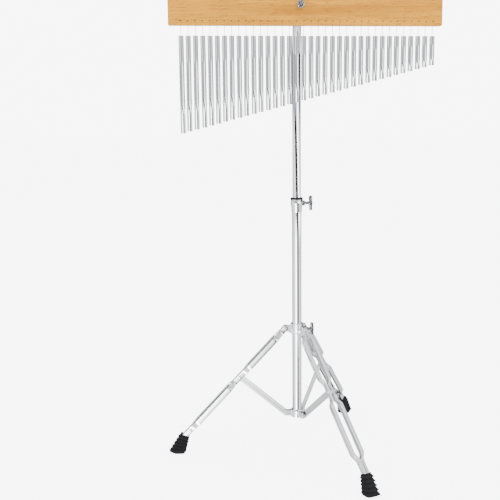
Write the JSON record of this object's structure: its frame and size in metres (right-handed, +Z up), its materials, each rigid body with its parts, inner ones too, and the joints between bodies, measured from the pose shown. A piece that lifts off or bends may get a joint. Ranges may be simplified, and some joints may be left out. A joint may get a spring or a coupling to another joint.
{
  "type": "bar chimes on a folding stand",
  "caption": "Row of graduated hanging metal bars on a wooden beam, held by a bent telescoping arm on a double-braced folding tripod.",
  "frame": {"origin": "on the floor, on the axis of the stand's tubes, in the middle of the three feet", "axes": "+Z up; +X along the beam towards the shortest bar; the arm carries the beam towards -Y, the side that the player faces"},
  "size_m": [0.678, 0.6226, 1.1716],
  "materials": {
    "chromed_steel": "polished chrome plate",
    "satin_aluminium": "satin drawn bar",
    "light_wood": "clear satin lacquer over fine straight grain",
    "black_nylon": "moulded, satin",
    "black_rubber": "matt",
    "ribbed_rubber": "matt, moulded ribs",
    "nylon_cord": "clear monofilament"
  },
  "bodies": {
    "stand_base": {"base_tube": "chromed_steel", "height_clamp": "chromed_steel", "lower_collar": "chromed_steel", "brace_pins": "chromed_steel"},
    "leg_collar": {"tripod_collar": "chromed_steel", "collar_pins": "chromed_steel"},
    "leg_left": {"leg_left": "chromed_steel", "foot_left": "ribbed_rubber"},
    "brace_left": {"brace_left": "chromed_steel"},
    "leg_rear": {"leg_rear": "chromed_steel", "foot_rear": "ribbed_rubber"},
    "brace_rear": {"brace_rear": "chromed_steel"},
    "leg_front": {"leg_front": "chromed_steel", "foot_front": "ribbed_rubber"},
    "brace_front": {"brace_front": "chromed_steel"},
    "collar_screw": {"collar_screw": "chromed_steel"},
    "clamp_screw": {"clamp_screw": "chromed_steel"},
    "arm_guide": {"clamp_bushing": "black_nylon"},
    "arm": {"arm_tube": "chromed_steel", "arm_stud": "chromed_steel", "beam_washers": "black_rubber"},
    "wing_nut": {"beam_wing_nut": "chromed_steel"},
    "beam": {"wood_beam": "light_wood", "cord_anchors": "nylon_cord"},
    "chime_01": {"chime_01": "satin_aluminium"},
    "chime_02": {"chime_02": "satin_aluminium"},
    "chime_03": {"chime_03": "satin_aluminium"},
    "chime_04": {"chime_04": "satin_aluminium"},
    "chime_05": {"chime_05": "satin_aluminium"},
    "chime_06": {"chime_06": "satin_aluminium"},
    "chime_07": {"chime_07": "satin_aluminium"},
    "chime_08": {"chime_08": "satin_aluminium"},
    "chime_09": {"chime_09": "satin_aluminium"},
    "chime_10": {"chime_10": "satin_aluminium"},
    "chime_11": {"chime_11": "satin_aluminium"},
    "chime_12": {"chime_12": "satin_aluminium"},
    "chime_13": {"chime_13": "satin_aluminium"},
    "chime_14": {"chime_14": "satin_aluminium"},
    "chime_15": {"chime_15": "satin_aluminium"},
    "chime_16": {"chime_16": "satin_aluminium"},
    "chime_17": {"chime_17": "satin_aluminium"},
    "chime_18": {"chime_18": "satin_aluminium"},
    "chime_19": {"chime_19": "satin_aluminium"},
    "chime_20": {"chime_20": "satin_aluminium"},
    "chime_21": {"chime_21": "satin_aluminium"},
    "chime_22": {"chime_22": "satin_aluminium"},
    "chime_23": {"chime_23": "satin_aluminium"},
    "chime_24": {"chime_24": "satin_aluminium"},
    "chime_25": {"chime_25": "satin_aluminium"},
    "chime_26": {"chime_26": "satin_aluminium"},
    "chime_27": {"chime_27": "satin_aluminium"},
    "chime_28": {"chime_28": "satin_aluminium"},
    "chime_29": {"chime_29": "satin_aluminium"},
    "chime_30": {"chime_30": "satin_aluminium"},
    "chime_31": {"chime_31": "satin_aluminium"},
    "chime_32": {"chime_32": "satin_aluminium"},
    "chime_33": {"chime_33": "satin_aluminium"},
    "chime_34": {"chime_34": "satin_aluminium"},
    "chime_35": {"chime_35": "satin_aluminium"},
    "chime_36": {"chime_36": "satin_aluminium"}
  },
  "joints": [
    {"name": "leg_collar_slide", "type": "slide", "parent": "stand_base", "child": "leg_collar", "axis": [0, 0, 1], "range_m": [0, 0.10533]},
    {"name": "leg_left_fold", "type": "hinge", "parent": "leg_collar", "child": "leg_left", "pos_m": [-0.031, 0, 0.345], "axis": [0, -1, 0], "range_deg": [0, 39.67]},
    {"name": "brace_left_fold", "type": "hinge", "parent": "stand_base", "child": "brace_left", "pos_m": [-0.031, 0, 0.1075], "axis": [0, 1, 0], "range_deg": [0, 46.65]},
    {"name": "leg_rear_fold", "type": "hinge", "parent": "leg_collar", "child": "leg_rear", "pos_m": [0.0155, 0.02685, 0.345], "axis": [-0.866, 0.5, 0], "range_deg": [0, 39.67]},
    {"name": "brace_rear_fold", "type": "hinge", "parent": "stand_base", "child": "brace_rear", "pos_m": [0.0155, 0.02685, 0.1075], "axis": [0.866, -0.5, 0], "range_deg": [0, 46.65]},
    {"name": "leg_front_fold", "type": "hinge", "parent": "leg_collar", "child": "leg_front", "pos_m": [0.0155, -0.02685, 0.345], "axis": [0.866, 0.5, 0], "range_deg": [0, 39.67]},
    {"name": "brace_front_fold", "type": "hinge", "parent": "stand_base", "child": "brace_front", "pos_m": [0.0155, -0.02685, 0.1075], "axis": [-0.866, -0.5, 0], "range_deg": [0, 46.65]},
    {"name": "arm_height", "type": "slide", "parent": "arm_guide", "child": "arm", "axis": [0, 0, 1], "range_m": [-0.345, 0.12]},
    {"name": "arm_swivel", "type": "hinge", "parent": "stand_base", "child": "arm_guide", "pos_m": [0, 0, 0.6815], "axis": [0, 0, 1], "continuous": true},
    {"name": "beam_tilt", "type": "hinge", "parent": "arm", "child": "beam", "pos_m": [0, -0.177, 1.157], "axis": [0, 1, 0], "range_deg": [-15, 15]},
    {"name": "wing_nut_turn", "type": "hinge", "parent": "arm", "child": "wing_nut", "pos_m": [0, -0.195, 1.157], "axis": [0, -1, 0], "range_deg": [0, 270]},
    {"name": "clamp_screw_turn", "type": "hinge", "parent": "stand_base", "child": "clamp_screw", "pos_m": [0.02, 0, 0.6805], "axis": [1, 0, 0], "range_deg": [0, 270]},
    {"name": "collar_screw_turn", "type": "hinge", "parent": "leg_collar", "child": "collar_screw", "pos_m": [0.025, 0, 0.342], "axis": [1, 0, 0], "range_deg": [0, 270]},
    {"name": "chime_01_swing", "type": "hinge", "parent": "beam", "child": "chime_01", "pos_m": [-0.27548, -0.177, 1.1095], "axis": [1, 0, 0], "range_deg": [-30, 30]},
    {"name": "chime_02_swing", "type": "hinge", "parent": "beam", "child": "chime_02", "pos_m": [-0.25883, -0.177, 1.1095], "axis": [1, 0, 0], "range_deg": [-30, 30]},
    {"name": "chime_03_swing", "type": "hinge", "parent": "beam", "child": "chime_03", "pos_m": [-0.24218, -0.177, 1.1095], "axis": [1, 0, 0], "range_deg": [-30, 30]},
    {"name": "chime_04_swing", "type": "hinge", "parent": "beam", "child": "chime_04", "pos_m": [-0.22553, -0.177, 1.1095], "axis": [1, 0, 0], "range_deg": [-30, 30]},
    {"name": "chime_05_swing", "type": "hinge", "parent": "beam", "child": "chime_05", "pos_m": [-0.20888, -0.177, 1.1095], "axis": [1, 0, 0], "range_deg": [-30, 30]},
    {"name": "chime_06_swing", "type": "hinge", "parent": "beam", "child": "chime_06", "pos_m": [-0.19223, -0.177, 1.1095], "axis": [1, 0, 0], "range_deg": [-30, 30]},
    {"name": "chime_07_swing", "type": "hinge", "parent": "beam", "child": "chime_07", "pos_m": [-0.17558, -0.177, 1.1095], "axis": [1, 0, 0], "range_deg": [-30, 30]},
    {"name": "chime_08_swing", "type": "hinge", "parent": "beam", "child": "chime_08", "pos_m": [-0.15893, -0.177, 1.1095], "axis": [1, 0, 0], "range_deg": [-30, 30]},
    {"name": "chime_09_swing", "type": "hinge", "parent": "beam", "child": "chime_09", "pos_m": [-0.14228, -0.177, 1.1095], "axis": [1, 0, 0], "range_deg": [-30, 30]},
    {"name": "chime_10_swing", "type": "hinge", "parent": "beam", "child": "chime_10", "pos_m": [-0.12562, -0.177, 1.1095], "axis": [1, 0, 0], "range_deg": [-30, 30]},
    {"name": "chime_11_swing", "type": "hinge", "parent": "beam", "child": "chime_11", "pos_m": [-0.10898, -0.177, 1.1095], "axis": [1, 0, 0], "range_deg": [-30, 30]},
    {"name": "chime_12_swing", "type": "hinge", "parent": "beam", "child": "chime_12", "pos_m": [-0.09233, -0.177, 1.1095], "axis": [1, 0, 0], "range_deg": [-30, 30]},
    {"name": "chime_13_swing", "type": "hinge", "parent": "beam", "child": "chime_13", "pos_m": [-0.07568, -0.177, 1.1095], "axis": [1, 0, 0], "range_deg": [-30, 30]},
    {"name": "chime_14_swing", "type": "hinge", "parent": "beam", "child": "chime_14", "pos_m": [-0.05903, -0.177, 1.1095], "axis": [1, 0, 0], "range_deg": [-30, 30]},
    {"name": "chime_15_swing", "type": "hinge", "parent": "beam", "child": "chime_15", "pos_m": [-0.04238, -0.177, 1.1095], "axis": [1, 0, 0], "range_deg": [-30, 30]},
    {"name": "chime_16_swing", "type": "hinge", "parent": "beam", "child": "chime_16", "pos_m": [-0.02573, -0.177, 1.1095], "axis": [1, 0, 0], "range_deg": [-30, 30]},
    {"name": "chime_17_swing", "type": "hinge", "parent": "beam", "child": "chime_17", "pos_m": [-0.00907, -0.177, 1.1095], "axis": [1, 0, 0], "range_deg": [-30, 30]},
    {"name": "chime_18_swing", "type": "hinge", "parent": "beam", "child": "chime_18", "pos_m": [0.00758, -0.177, 1.1095], "axis": [1, 0, 0], "range_deg": [-30, 30]},
    {"name": "chime_19_swing", "type": "hinge", "parent": "beam", "child": "chime_19", "pos_m": [0.02423, -0.177, 1.1095], "axis": [1, 0, 0], "range_deg": [-30, 30]},
    {"name": "chime_20_swing", "type": "hinge", "parent": "beam", "child": "chime_20", "pos_m": [0.04088, -0.177, 1.1095], "axis": [1, 0, 0], "range_deg": [-30, 30]},
    {"name": "chime_21_swing", "type": "hinge", "parent": "beam", "child": "chime_21", "pos_m": [0.05752, -0.177, 1.1095], "axis": [1, 0, 0], "range_deg": [-30, 30]},
    {"name": "chime_22_swing", "type": "hinge", "parent": "beam", "child": "chime_22", "pos_m": [0.07418, -0.177, 1.1095], "axis": [1, 0, 0], "range_deg": [-30, 30]},
    {"name": "chime_23_swing", "type": "hinge", "parent": "beam", "child": "chime_23", "pos_m": [0.09083, -0.177, 1.1095], "axis": [1, 0, 0], "range_deg": [-30, 30]},
    {"name": "chime_24_swing", "type": "hinge", "parent": "beam", "child": "chime_24", "pos_m": [0.10748, -0.177, 1.1095], "axis": [1, 0, 0], "range_deg": [-30, 30]},
    {"name": "chime_25_swing", "type": "hinge", "parent": "beam", "child": "chime_25", "pos_m": [0.12412, -0.177, 1.1095], "axis": [1, 0, 0], "range_deg": [-30, 30]},
    {"name": "chime_26_swing", "type": "hinge", "parent": "beam", "child": "chime_26", "pos_m": [0.14078, -0.177, 1.1095], "axis": [1, 0, 0], "range_deg": [-30, 30]},
    {"name": "chime_27_swing", "type": "hinge", "parent": "beam", "child": "chime_27", "pos_m": [0.15743, -0.177, 1.1095], "axis": [1, 0, 0], "range_deg": [-30, 30]},
    {"name": "chime_28_swing", "type": "hinge", "parent": "beam", "child": "chime_28", "pos_m": [0.17408, -0.177, 1.1095], "axis": [1, 0, 0], "range_deg": [-30, 30]},
    {"name": "chime_29_swing", "type": "hinge", "parent": "beam", "child": "chime_29", "pos_m": [0.19073, -0.177, 1.1095], "axis": [1, 0, 0], "range_deg": [-30, 30]},
    {"name": "chime_30_swing", "type": "hinge", "parent": "beam", "child": "chime_30", "pos_m": [0.20738, -0.177, 1.1095], "axis": [1, 0, 0], "range_deg": [-30, 30]},
    {"name": "chime_31_swing", "type": "hinge", "parent": "beam", "child": "chime_31", "pos_m": [0.22403, -0.177, 1.1095], "axis": [1, 0, 0], "range_deg": [-30, 30]},
    {"name": "chime_32_swing", "type": "hinge", "parent": "beam", "child": "chime_32", "pos_m": [0.24068, -0.177, 1.1095], "axis": [1, 0, 0], "range_deg": [-30, 30]},
    {"name": "chime_33_swing", "type": "hinge", "parent": "beam", "child": "chime_33", "pos_m": [0.25733, -0.177, 1.1095], "axis": [1, 0, 0], "range_deg": [-30, 30]},
    {"name": "chime_34_swing", "type": "hinge", "parent": "beam", "child": "chime_34", "pos_m": [0.27398, -0.177, 1.1095], "axis": [1, 0, 0], "range_deg": [-30, 30]},
    {"name": "chime_35_swing", "type": "hinge", "parent": "beam", "child": "chime_35", "pos_m": [0.29063, -0.177, 1.1095], "axis": [1, 0, 0], "range_deg": [-30, 30]},
    {"name": "chime_36_swing", "type": "hinge", "parent": "beam", "child": "chime_36", "pos_m": [0.30728, -0.177, 1.1095], "axis": [1, 0, 0], "range_deg": [-30, 30]}
  ],
  "couplings": [
    {"joint": "leg_left_fold", "follows": "leg_collar_slide", "rad_per_m": 6.5725},
    {"joint": "brace_left_fold", "follows": "leg_collar_slide", "rad_per_m": 7.7286},
    {"joint": "leg_rear_fold", "follows": "leg_collar_slide", "rad_per_m": 6.5725},
    {"joint": "brace_rear_fold", "follows": "leg_collar_slide", "rad_per_m": 7.7286},
    {"joint": "leg_front_fold", "follows": "leg_collar_slide", "rad_per_m": 6.5725},
    {"joint": "brace_front_fold", "follows": "leg_collar_slide", "rad_per_m": 7.7286}
  ]
}
